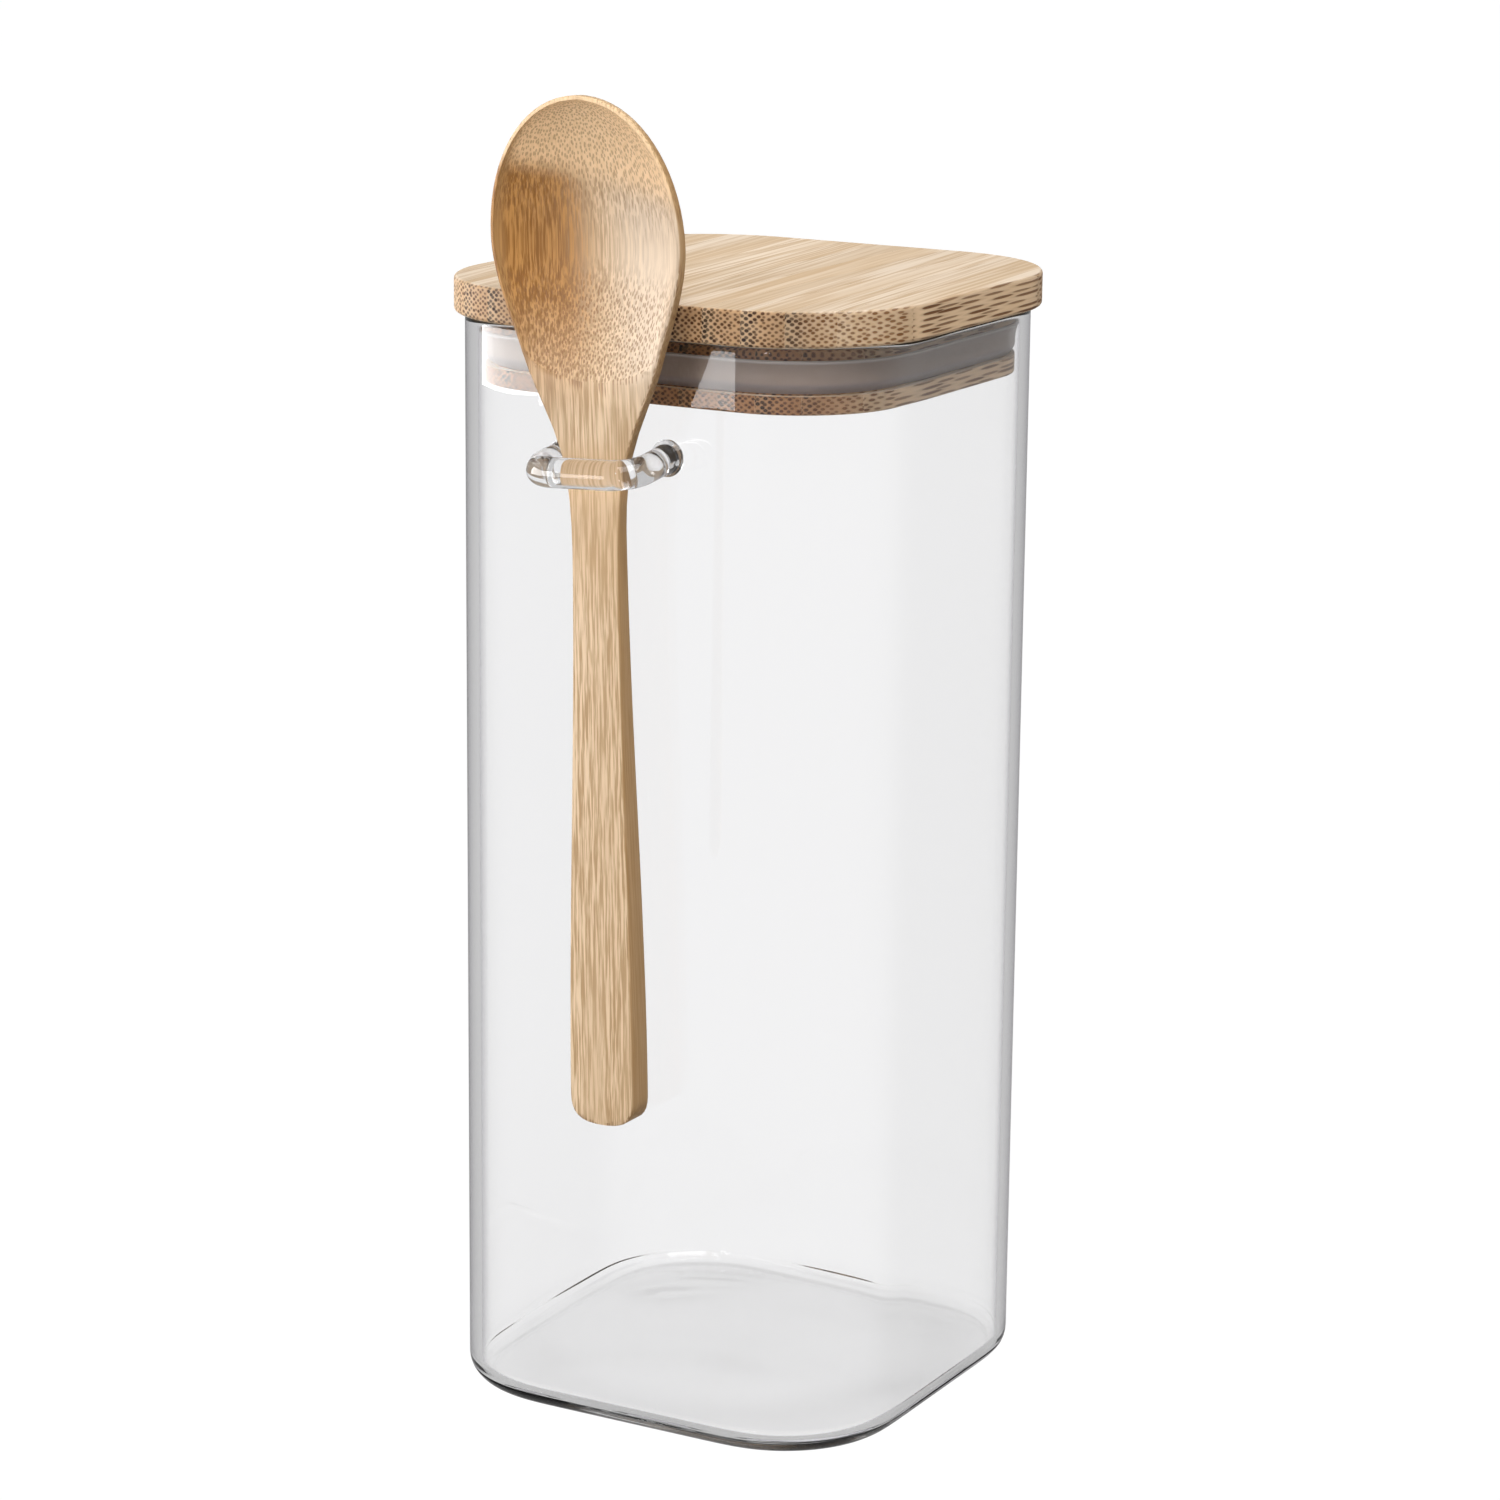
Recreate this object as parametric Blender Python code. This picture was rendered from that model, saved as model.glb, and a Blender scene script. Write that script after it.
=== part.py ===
"""Square glass storage jar with a laminated bamboo lid and a spoon hung in a glass loop.

The jar stands on z = 0 with its axis on z. Its front, with the loop and the spoon, faces -Y.
Everything is in metres. The lid's bamboo strips run along Y and lie side by side along X.
"""

from math import cos, pi, radians, sin

import bmesh
import bpy
from mathutils import Matrix, Vector

# Glass body: a blown square jar with round corners and a rolled foot.
GLASS_WIDTH = 0.088
GLASS_CORNER = 0.0234
GLASS_HEIGHT = 0.2018
GLASS_WALL = 0.0023
GLASS_BASE = 0.0040
FOOT_RADIUS = 0.0043
FLOOR_RADIUS = 0.0060

# Gap left between pieces that touch.
SEAT_GAP = 0.0003

# Lid board: one milled board, with a plate that covers the rim and a plug that fills the mouth.
PLATE_OVERHANG = 0.0022
PLATE_CORNER = 0.0268
PLATE_THICKNESS = 0.0064
PLATE_CHAMFER = 0.0007
PLUG_PLAY = 0.0014
PLUG_DEPTH = 0.0122
PLUG_CHAMFER = 0.0005
FLANGE_HEIGHT = 0.0033
GROOVE_HEIGHT = 0.0057
GROOVE_DEPTH = 0.0015

# Bamboo strips of the board, glued edge to edge. The outline trims the first to half a strip.
STRIP_COUNT = 13
FIRST_STRIP_SHARE = 0.503
LAST_STRIP_SHARE = 1.068
GLUE_LINE = 0.0001
SEAM_MARGIN = 0.0004

# Silicone seal in the plug's groove.
SEAL_ROOT = 0.0011
SEAL_LIP = 0.0007
SEAL_LIP_RISE = 0.0004

# Glass rod loop fused to the front wall.
ROD_RADIUS = 0.00262
LOOP_CENTRE_X = -0.0018
LOOP_HALF_WIDTH = 0.0102
LOOP_BEND = 0.0048
LOOP_BELOW_RIM = 0.0209
LOOP_DROOP = 0.0015
LOOP_TILT = 0.0005
WELD_FLARE = 0.0006
WELD_LENGTH = 0.0016

# Bamboo spoon. Heights are measured along it from the loop, up to the bowl and down to the end.
SPOON_PLAY = 0.00068
SPOON_LEAN = radians(0.92)
SPOON_OFFSET = 0.0005
HANDLE_DROP = 0.1196
HANDLE_THICKNESS = 0.0058
HANDLE_WIDTH = 0.0130
HANDLE_WAIST_WIDTH = 0.0094
HANDLE_WAIST_DROP = 0.0195
HANDLE_END_ROUND = 0.0056
NECK_WIDTH = 0.0126
NECK_THICKNESS = 0.0026
SHOULDER_RISE = 0.0180
SHOULDER_WIDTH = 0.0271
BOWL_RISE = 0.0384
BOWL_WIDTH = 0.0379
BOWL_TIP_LENGTH = 0.0249
BOWL_THICKNESS = 0.0082
BOWL_FLOOR = 0.0024
BOWL_EDGE = 0.0022
BOWL_TIP_EDGE = 0.0017
BOWL_REACH = 0.0039
HOLLOW_RIM = 0.0013
HOLLOW_START = 0.0142
HOLLOW_START_ROUND = 0.0046
SPOON_EDGE_ROUND = 0.0007

# How full the spoon's curves are: 1 is straight, 2 is round, more is squarer.
HANDLE_END_POWER = 3
BOWL_TIP_POWER = 2.04
HOLLOW_START_POWER = 2
LEAN_POWER = 1.1
HOLLOW_RISE_POWER = 1.2
HOLLOW_SIDE_POWER = 0.62
BELLY_POWER = 0.9

# Shares used in the spoon's sections, from its middle to its edge.
SPREAD_SHARES = (-1, -0.86, -0.62, -0.32, 0, 0.32, 0.62, 0.86, 1)
BELLY_SPREAD_SHARE = 0.93
WAIST_THICKNESS_SHARE = 1 / 3
EDGE_ROUND_SHARE = 1 / 3
LEAST_HOLLOW_SHARE = 1 / 8
FIRST_END_SHARE = 0.12
LAST_TIP_SHARE = 0.93
BOWL_SPACING_POWER = 1.25

# How finely round shapes are divided.
CORNER_STEPS = 9
ARC_STEPS = 4
ROD_SIDES = 14
LEG_STEPS = 3
BEND_STEPS = 8
END_STEPS = 4
HANDLE_STEPS = 12
BOWL_STEPS = 15
TIP_STEPS = 9
SMOOTH_ANGLE = radians(32)

# Sizes that follow from the ones above.
GLASS_HALF = GLASS_WIDTH / 2
CORNER_CENTRE = GLASS_HALF - GLASS_CORNER
MOUTH_HALF = GLASS_HALF - GLASS_WALL
PLATE_HALF = GLASS_HALF + PLATE_OVERHANG
PLATE_BOTTOM = GLASS_HEIGHT + SEAT_GAP
PLATE_TOP = PLATE_BOTTOM + PLATE_THICKNESS
STRIP_WIDTH = 2 * PLATE_HALF / (STRIP_COUNT - 2 + FIRST_STRIP_SHARE + LAST_STRIP_SHARE)
PLUG_HALF = MOUTH_HALF - PLUG_PLAY
PLUG_BOTTOM = PLATE_BOTTOM - PLUG_DEPTH
GROOVE_HALF = PLUG_HALF - GROOVE_DEPTH
GROOVE_BOTTOM = PLUG_BOTTOM + FLANGE_HEIGHT
GROOVE_TOP = GROOVE_BOTTOM + GROOVE_HEIGHT
LOOP_HEIGHT = GLASS_HEIGHT - LOOP_BELOW_RIM
HANDLE_BACK = PLATE_OVERHANG + SPOON_PLAY
LOOP_REACH = HANDLE_BACK + HANDLE_THICKNESS + SPOON_PLAY + ROD_RADIUS
SPOON_TIP = BOWL_RISE + BOWL_TIP_LENGTH


def clear_scene():
    """Start from an empty scene."""
    for item in list(bpy.data.objects):
        bpy.data.objects.remove(item, do_unlink=True)


def finish(name, colour, roughness, alpha=1.0, transmission=0.0):
    """A plain material with one colour and gloss."""
    material = bpy.data.materials.new(name)
    material.use_nodes = True
    shader = material.node_tree.nodes["Principled BSDF"]
    shader.inputs["Base Color"].default_value = (*colour, 1.0)
    shader.inputs["Roughness"].default_value = roughness
    shader.inputs["Metallic"].default_value = 0.0
    shader.inputs["Alpha"].default_value = alpha
    shader.inputs["Transmission Weight"].default_value = transmission
    return material


def clear_glass():
    """Clear borosilicate glass, as in the body and the loop."""
    return finish("clear_glass", (0.93, 0.94, 0.96), 0.03, alpha=0.35, transmission=1.0)


def pale_bamboo():
    """Sanded pale bamboo of the lid."""
    return finish("pale_bamboo", (0.78, 0.62, 0.43), 0.55)


def carved_bamboo():
    """Carved bamboo of the spoon, a little warmer than the lid."""
    return finish("carved_bamboo", (0.75, 0.55, 0.34), 0.5)


def milky_silicone():
    """Milky silicone of the seal."""
    return finish("milky_silicone", (0.80, 0.79, 0.77), 0.35, alpha=0.8)


def add_object(name, bm, material):
    """Turn a finished bmesh into a named, smooth-shaded object."""
    bmesh.ops.recalc_face_normals(bm, faces=bm.faces[:])
    mesh = bpy.data.meshes.new(name)
    bm.to_mesh(mesh)
    bm.free()
    mesh.materials.append(material)
    mesh.shade_smooth()
    mesh.set_sharp_from_angle(angle=SMOOTH_ANGLE)
    item = bpy.data.objects.new(name, mesh)
    bpy.context.collection.objects.link(item)
    return item


def loft(rings, closed=False):
    """Join matching outlines into one closed skin, with a cap on each end or end to end."""
    bm = bmesh.new()
    loops = [[bm.verts.new(point) for point in ring] for ring in rings]
    if closed:
        loops.append(loops[0])
    else:
        bm.faces.new(loops[0])
        bm.faces.new(loops[-1])
    for lower, upper in zip(loops, loops[1:]):
        for i in range(len(lower)):
            bm.faces.new((lower[i - 1], lower[i], upper[i], upper[i - 1]))
    return bm


def square_ring(half_width, corner, height):
    """Points round a square with round corners, level at one height."""
    centre = half_width - corner
    ring = []
    for quarter in range(4):
        turn = Matrix.Rotation(quarter * pi / 2, 3, "Z")
        for step in range(CORNER_STEPS + 1):
            angle = pi / 2 * step / CORNER_STEPS
            point = Vector((centre + corner * cos(angle), centre + corner * sin(angle), height))
            ring.append(turn @ point)
    return ring


def glass_ring(inset, height):
    """The jar's outline moved in by an inset; the corners keep their centres."""
    return square_ring(GLASS_HALF - inset, GLASS_CORNER - inset, height)


def mouth_ring(half_width, height):
    """An outline inside the mouth, on the same corner centres as the glass."""
    return square_ring(half_width, half_width - CORNER_CENTRE, height)


def make_jar(material):
    """Blown glass body: rolled foot, straight wall, round rim, and a floor with a round edge."""
    rings = []
    for step in range(ARC_STEPS + 1):
        angle = pi / 2 * step / ARC_STEPS
        inset = FOOT_RADIUS * (1 - sin(angle))
        rings.append(glass_ring(inset, FOOT_RADIUS * (1 - cos(angle))))
    rim_radius = GLASS_WALL / 2
    for step in range(2 * ARC_STEPS + 1):
        angle = pi * step / (2 * ARC_STEPS)
        height = GLASS_HEIGHT - rim_radius * (1 - sin(angle))
        rings.append(glass_ring(rim_radius * (1 - cos(angle)), height))
    for step in range(ARC_STEPS + 1):
        angle = pi / 2 * step / ARC_STEPS
        inset = GLASS_WALL + FLOOR_RADIUS * (1 - cos(angle))
        rings.append(glass_ring(inset, GLASS_BASE + FLOOR_RADIUS * (1 - sin(angle))))
    return add_object("glass_jar", loft(rings), material)


def board_rings():
    """The milled lid board from its top face down to the underside of the plug."""
    plate = [
        (PLATE_CHAMFER, PLATE_TOP),
        (0, PLATE_TOP - PLATE_CHAMFER),
        (0, PLATE_BOTTOM + PLATE_CHAMFER),
        (PLATE_CHAMFER, PLATE_BOTTOM),
    ]
    plug = [
        (PLUG_HALF, PLATE_BOTTOM),
        (PLUG_HALF, GROOVE_TOP),
        (GROOVE_HALF, GROOVE_TOP),
        (GROOVE_HALF, GROOVE_BOTTOM),
        (PLUG_HALF, GROOVE_BOTTOM),
        (PLUG_HALF, PLUG_BOTTOM + PLUG_CHAMFER),
        (PLUG_HALF - PLUG_CHAMFER, PLUG_BOTTOM),
    ]
    rings = [square_ring(PLATE_HALF - inset, PLATE_CORNER - inset, z) for inset, z in plate]
    return rings + [mouth_ring(half_width, z) for half_width, z in plug]


def seam_places():
    """Where the glue seams lie along X; none cuts a loose sliver off the plug."""
    first = FIRST_STRIP_SHARE * STRIP_WIDTH - PLATE_HALF
    inner = GROOVE_HALF - SEAM_MARGIN
    seams = []
    for number in range(STRIP_COUNT - 1):
        place = first + number * STRIP_WIDTH
        if inner < abs(place) < PLUG_HALF + SEAM_MARGIN:
            place = inner if place > 0 else -inner
        seams.append(place)
    return seams


def saw(bm, place, side):
    """Cut the board across X and close the cut; side says which half goes."""
    parts = bm.verts[:] + bm.edges[:] + bm.faces[:]
    cut = bmesh.ops.bisect_plane(
        bm, geom=parts, plane_co=(place, 0, 0), plane_no=(side, 0, 0), clear_outer=True
    )
    edges = [part for part in cut["geom_cut"] if isinstance(part, bmesh.types.BMEdge)]
    bmesh.ops.edgeloop_fill(bm, edges=edges)


def make_lid_strips(material):
    """The board as its glued bamboo strips, numbered from the left."""
    seams = seam_places()
    for number in range(STRIP_COUNT):
        bm = loft(board_rings())
        if number > 0:
            saw(bm, seams[number - 1] + GLUE_LINE / 2, -1)
        if number < STRIP_COUNT - 1:
            saw(bm, seams[number] - GLUE_LINE / 2, 1)
        add_object(f"lid_strip_{number + 1:02d}", bm, material)


def make_seal(material):
    """Silicone ring: a root in the groove and a lip that curves up and out to the glass."""
    inner = GROOVE_HALF + SEAT_GAP
    outer = MOUTH_HALF - SEAT_GAP
    low = GROOVE_BOTTOM + SEAT_GAP
    high = GROOVE_TOP - SEAT_GAP
    tip = GROOVE_TOP + SEAL_LIP_RISE
    foot = inner + SEAL_ROOT
    profile = [(inner, high), (inner, low)]
    for step in range(2 * ARC_STEPS + 1):
        angle = pi / 2 * step / (2 * ARC_STEPS)
        profile.append((foot + (outer - foot) * sin(angle), tip - (tip - low) * cos(angle)))
    profile.append((outer - SEAL_LIP, tip))
    profile.append((foot, high))
    rings = [mouth_ring(half_width, z) for half_width, z in profile]
    return add_object("seal_ring", loft(rings, closed=True), material)


def loop_path():
    """Centre line of the loop in plan, from the left foot round the front to the right foot."""
    wall = -GLASS_HALF - SEAT_GAP
    front = -GLASS_HALF - LOOP_REACH
    bend_y = front + LOOP_BEND
    side = LOOP_HALF_WIDTH - LOOP_BEND
    leg_start = wall - WELD_LENGTH
    left = [(-LOOP_HALF_WIDTH, wall), (-LOOP_HALF_WIDTH, leg_start)]
    for step in range(1, LEG_STEPS):
        left.append((-LOOP_HALF_WIDTH, leg_start + (bend_y - leg_start) * step / LEG_STEPS))
    for step in range(BEND_STEPS + 1):
        angle = pi / 2 * step / BEND_STEPS
        left.append((-side - LOOP_BEND * cos(angle), bend_y - LOOP_BEND * sin(angle)))
    right = [(-x, y) for x, y in reversed(left)]
    path = []
    for x, y in left + right:
        drop = LOOP_DROOP * (wall - y) / (wall - front)
        rise = LOOP_TILT * x / LOOP_HALF_WIDTH
        path.append(Vector((LOOP_CENTRE_X + x, y, LOOP_HEIGHT - drop + rise)))
    return path


def make_loop(material):
    """Glass rod bent to a U; both ends swell where they are fused to the wall."""
    path = loop_path()
    last = len(path) - 1
    rings = []
    for number, point in enumerate(path):
        along = path[min(number + 1, last)] - path[max(number - 1, 0)]
        if number in (0, last):
            along.z = 0
        along.normalize()
        across = along.cross(Vector((0, 0, 1))).normalized()
        upward = across.cross(along)
        radius = ROD_RADIUS
        if number in (0, last):
            radius += WELD_FLARE
        ring = []
        for side in range(ROD_SIDES):
            angle = 2 * pi * side / ROD_SIDES
            ring.append(point + radius * (across * cos(angle) + upward * sin(angle)))
        rings.append(ring)
    return add_object("spoon_loop", loft(rings), material)


def smooth_value(stations, place):
    """A smooth curve read through stations of (place, value)."""
    places = [station[0] for station in stations]
    values = [station[1] for station in stations]
    last = len(stations) - 1
    if place <= places[0]:
        return values[0]
    if place >= places[last]:
        return values[last]
    slot = max(i for i in range(last) if places[i] <= place)
    slopes = []
    for i in (slot, slot + 1):
        low, high = max(i - 1, 0), min(i + 1, last)
        level = i in (0, last)
        slopes.append(0 if level else (values[high] - values[low]) / (places[high] - places[low]))
    span = places[slot + 1] - places[slot]
    t = (place - places[slot]) / span
    start = values[slot] * (2 * t**3 - 3 * t**2 + 1) + slopes[0] * span * (t**3 - 2 * t**2 + t)
    end = values[slot + 1] * (3 * t**2 - 2 * t**3) + slopes[1] * span * (t**3 - t**2)
    return start + end


def round_off(share, power):
    """How wide a rounded end still is, from 1 where it starts to 0 at its tip."""
    return max(1 - abs(share) ** power, 0) ** (1 / power)


def spoon_half_width(height):
    """Half of the spoon's width at a height along it."""
    stations = [
        (-HANDLE_DROP + HANDLE_END_ROUND, HANDLE_WIDTH / 2),
        (-HANDLE_WAIST_DROP, HANDLE_WAIST_WIDTH / 2),
        (0, NECK_WIDTH / 2),
        (SHOULDER_RISE, SHOULDER_WIDTH / 2),
        (BOWL_RISE, BOWL_WIDTH / 2),
    ]
    width = smooth_value(stations, height)
    if height > BOWL_RISE:
        width *= round_off((height - BOWL_RISE) / BOWL_TIP_LENGTH, BOWL_TIP_POWER)
    below = -HANDLE_DROP + HANDLE_END_ROUND - height
    if below > 0:
        width *= round_off(below / HANDLE_END_ROUND, HANDLE_END_POWER)
    return width


def spoon_edge(height):
    """Thickness of the spoon at its edges."""
    waist_extra = (HANDLE_THICKNESS - NECK_THICKNESS) * WAIST_THICKNESS_SHARE
    stations = [
        (-HANDLE_DROP, HANDLE_THICKNESS),
        (-HANDLE_WAIST_DROP, NECK_THICKNESS + waist_extra),
        (0, NECK_THICKNESS),
        (BOWL_RISE, BOWL_EDGE),
        (SPOON_TIP, BOWL_TIP_EDGE),
    ]
    return smooth_value(stations, height)


def spoon_belly(height):
    """Thickness of the spoon down its middle, from the front plane to the back."""
    if height <= 0:
        return spoon_edge(height)
    stations = [
        (0, NECK_THICKNESS),
        (SHOULDER_RISE, (NECK_THICKNESS + BOWL_THICKNESS) / 2),
        (BOWL_RISE, BOWL_THICKNESS),
    ]
    if height <= BOWL_RISE:
        return smooth_value(stations, height)
    fall = round_off((height - BOWL_RISE) / BOWL_TIP_LENGTH, BOWL_TIP_POWER)
    return BOWL_TIP_EDGE + (BOWL_THICKNESS - BOWL_TIP_EDGE) * fall


def spoon_front(height):
    """How far the front plane leans forward of the neck at a height."""
    reach_share = max(height, 0) / SPOON_TIP
    return -BOWL_REACH * reach_share**LEAN_POWER


def hollow_half_width(height):
    """Half of the hollow's width, or none below and above it."""
    top = BOWL_TIP_LENGTH - HOLLOW_RIM
    start = HOLLOW_START
    if height <= start or height >= BOWL_RISE + top:
        return 0
    width = spoon_half_width(height) - HOLLOW_RIM
    if height > BOWL_RISE:
        widest = BOWL_WIDTH / 2 - HOLLOW_RIM
        width = widest * round_off((height - BOWL_RISE) / top, BOWL_TIP_POWER)
    below = start + HOLLOW_START_ROUND - height
    if below > 0:
        width *= round_off(below / HOLLOW_START_ROUND, HOLLOW_START_POWER)
    return width


def hollow_depth(height):
    """Depth of the hollow down its middle."""
    if hollow_half_width(height) == 0:
        return 0
    deepest = BOWL_THICKNESS - BOWL_FLOOR
    if height > BOWL_RISE:
        top = BOWL_TIP_LENGTH - HOLLOW_RIM
        return deepest * round_off((height - BOWL_RISE) / top, BOWL_TIP_POWER)
    rise = (height - HOLLOW_START) / (BOWL_RISE - HOLLOW_START)
    return deepest * sin(pi / 2 * rise) ** HOLLOW_RISE_POWER


def spoon_section(height):
    """One cross-section of the spoon: flat or hollow front, and a back that bellies out."""
    half = max(spoon_half_width(height), SPOON_EDGE_ROUND * 2)
    edge = spoon_edge(height)
    belly = max(spoon_belly(height), edge)
    front = spoon_front(height)
    corner = min(SPOON_EDGE_ROUND, edge * EDGE_ROUND_SHARE)
    hollow = max(hollow_half_width(height), half * LEAST_HOLLOW_SHARE)
    hollow = min(hollow, half - corner - SEAT_GAP)
    depth = min(hollow_depth(height), max(belly - BOWL_FLOOR, 0))
    face = [(-half + corner, front)]
    back = [(half - corner, front + edge)]
    for share in SPREAD_SHARES:
        dip = depth * (1 - share**2) ** HOLLOW_SIDE_POWER
        face.append((hollow * share, front + dip))
        place = -share * (half - corner) * BELLY_SPREAD_SHARE
        swell = (belly - edge) * (1 - (place / half) ** 2) ** BELLY_POWER
        back.append((place, front + edge + swell))
    face.append((half - corner, front))
    back.append((-half + corner, front + edge))
    right = [(half, front + corner), (half, front + edge - corner)]
    left = [(-half, front + edge - corner), (-half, front + corner)]
    return [Vector((x, y, height)) for x, y in face + right + back + left]


def spoon_heights():
    """Where the sections are taken, closer together at the two rounded ends."""
    heights = []
    for step in range(END_STEPS):
        angle = pi / 2 * (FIRST_END_SHARE + (1 - FIRST_END_SHARE) * step / END_STEPS)
        heights.append(-HANDLE_DROP + HANDLE_END_ROUND * (1 - cos(angle)))
    handle_start = -HANDLE_DROP + HANDLE_END_ROUND
    for step in range(HANDLE_STEPS + 1):
        heights.append(handle_start + (HOLLOW_START - handle_start) * step / HANDLE_STEPS)
    for step in range(1, BOWL_STEPS + 1):
        share = (step / BOWL_STEPS) ** BOWL_SPACING_POWER
        heights.append(HOLLOW_START + (BOWL_RISE - HOLLOW_START) * share)
    for step in range(1, TIP_STEPS + 1):
        angle = pi / 2 * LAST_TIP_SHARE * step / TIP_STEPS
        heights.append(BOWL_RISE + BOWL_TIP_LENGTH * sin(angle))
    return heights


def make_spoon(material):
    """Carved bamboo spoon, hung by its neck in the loop with the hollow facing forward."""
    spoon = add_object("spoon", loft([spoon_section(z) for z in spoon_heights()]), material)
    front_y = -GLASS_HALF - LOOP_REACH + ROD_RADIUS + SPOON_PLAY
    spoon.location = (LOOP_CENTRE_X + SPOON_OFFSET, front_y, LOOP_HEIGHT)
    spoon.rotation_euler = (0, -SPOON_LEAN, 0)
    return spoon


def make_storage_jar():
    """Put the whole jar together."""
    clear_scene()
    glass = clear_glass()
    make_jar(glass)
    make_loop(glass)
    make_lid_strips(pale_bamboo())
    make_seal(milky_silicone())
    make_spoon(carved_bamboo())


make_storage_jar()
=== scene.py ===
from math import cos, pi, radians, sin

import bmesh
import bpy
from mathutils import Matrix, Vector


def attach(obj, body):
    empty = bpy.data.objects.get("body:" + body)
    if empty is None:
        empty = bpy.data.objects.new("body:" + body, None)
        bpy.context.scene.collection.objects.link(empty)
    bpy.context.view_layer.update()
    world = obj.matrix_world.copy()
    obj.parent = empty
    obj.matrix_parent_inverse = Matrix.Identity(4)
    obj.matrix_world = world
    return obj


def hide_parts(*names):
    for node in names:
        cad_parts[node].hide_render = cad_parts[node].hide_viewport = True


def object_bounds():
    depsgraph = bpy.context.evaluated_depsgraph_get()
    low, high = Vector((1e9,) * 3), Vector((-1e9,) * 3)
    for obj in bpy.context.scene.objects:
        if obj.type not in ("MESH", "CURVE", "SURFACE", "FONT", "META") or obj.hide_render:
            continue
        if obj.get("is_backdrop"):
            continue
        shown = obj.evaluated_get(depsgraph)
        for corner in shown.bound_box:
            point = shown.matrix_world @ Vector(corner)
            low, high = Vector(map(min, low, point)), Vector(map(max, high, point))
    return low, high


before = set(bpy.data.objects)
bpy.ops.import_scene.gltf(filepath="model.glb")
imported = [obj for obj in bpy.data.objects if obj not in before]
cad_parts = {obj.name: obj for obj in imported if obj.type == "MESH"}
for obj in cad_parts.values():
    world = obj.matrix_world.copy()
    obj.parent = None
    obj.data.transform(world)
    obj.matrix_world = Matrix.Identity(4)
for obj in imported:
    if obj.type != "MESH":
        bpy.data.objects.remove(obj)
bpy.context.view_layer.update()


# Camera. It stands to the right of the jar's front and looks down a little, through a long lens,
# and is turned by half a degree as a hand-set tripod is.
VIEW_YAW = radians(29.176)
VIEW_PITCH = radians(13.622)
VIEW_ROLL = radians(0.586)
VIEW_PLACE = (0.39559, -0.70707, 0.31558)
LENS_LENGTH = 107.85
FILM_WIDTH = 36
FAR_CLIP = 100
LIGHT_BOUNCES = 24
GLOSSY_BOUNCES = 16
view_back = Vector((sin(VIEW_YAW) * cos(VIEW_PITCH), -cos(VIEW_YAW) * cos(VIEW_PITCH),
                    sin(VIEW_PITCH)))
view_right = Vector((cos(VIEW_YAW), sin(VIEW_YAW), 0))
view_up = view_back.cross(view_right)
camera_data = bpy.data.cameras.new("camera")
camera_data.lens = LENS_LENGTH
camera_data.sensor_width = FILM_WIDTH
camera_data.clip_end = FAR_CLIP
camera = bpy.data.objects.new("camera", camera_data)
bpy.context.collection.objects.link(camera)
turned_right = view_right * cos(VIEW_ROLL) + view_up * sin(VIEW_ROLL)
turned_up = view_up * cos(VIEW_ROLL) - view_right * sin(VIEW_ROLL)
camera_turn = Matrix((turned_right, turned_up, view_back)).transposed().to_4x4()
camera.matrix_world = Matrix.Translation(VIEW_PLACE) @ camera_turn
bpy.context.scene.camera = camera
bpy.context.scene.view_settings.view_transform = "Standard"
bpy.context.scene.cycles.max_bounces = LIGHT_BOUNCES
bpy.context.scene.cycles.transmission_bounces = LIGHT_BOUNCES
bpy.context.scene.cycles.glossy_bounces = GLOSSY_BOUNCES


# Glass body. One square jar of clear borosilicate glass, blown into a mould: straight walls, round
# corners, a thin even floor that follows the round foot, and a fire-polished rim. It stands open
# side up on the table, and all other pieces hang from it or sit in it.
GLASS_HALF = 0.0440
CORNER_RADIUS = 0.0234
CORNER_CENTRE = GLASS_HALF - CORNER_RADIUS
CORNER_SEGMENTS = 24
FLAT_CUTS = 26
GLASS_SOFTNESS = 10
GLASS_TOP = 0.2018
GLASS_WALL = 0.0023
GLASS_FLOOR = 0.0021
FOOT_RADIUS = 0.0043
FLOOR_RADIUS = 0.0028
GLASS_BEND = 1.47
GLASS_TINT = (0.968, 0.967, 0.970)
# Painted shade: the darker lavender tone of the glass where it is seen at a slant.
GLASS_EDGE_PAINTED_SHADE = (0.36, 0.335, 0.40)
GLASS_SHADOW = (0.80, 0.80, 0.80, 1)
SLANT_START, SLANT_FULL = 0.60, 0.97
FLOOR_WAVE_SCALE = 38.0
FLOOR_WAVE_DEPTH = 0.0009
FLOOR_WAVE_LOW, FLOOR_WAVE_HIGH = 0.0023, 0.0030
FOOT_STEPS, RIM_STEPS, FLOOR_STEPS = 10, 12, 12
FLAT_WEIGHT = 100


class Value:
    """A socket that takes part in sums like a number."""

    def __init__(self, tree, socket):
        self.tree, self.socket = tree, socket

    def maths(self, operation, *others):
        node = self.tree.nodes.new("ShaderNodeMath")
        node.operation = operation
        for place, thing in enumerate((self,) + others):
            if isinstance(thing, Value):
                self.tree.links.new(thing.socket, node.inputs[place])
            else:
                node.inputs[place].default_value = thing
        return Value(self.tree, node.outputs[0])

    def __add__(self, other):
        return self.maths("ADD", other)

    def __sub__(self, other):
        return self.maths("SUBTRACT", other)

    def __mul__(self, other):
        return self.maths("MULTIPLY", other)

    def __truediv__(self, other):
        return self.maths("DIVIDE", other)

    def __pow__(self, other):
        return self.maths("POWER", other)

    def __rsub__(self, other):
        return (self * -1) + other

    __radd__ = __add__
    __rmul__ = __mul__


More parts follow.
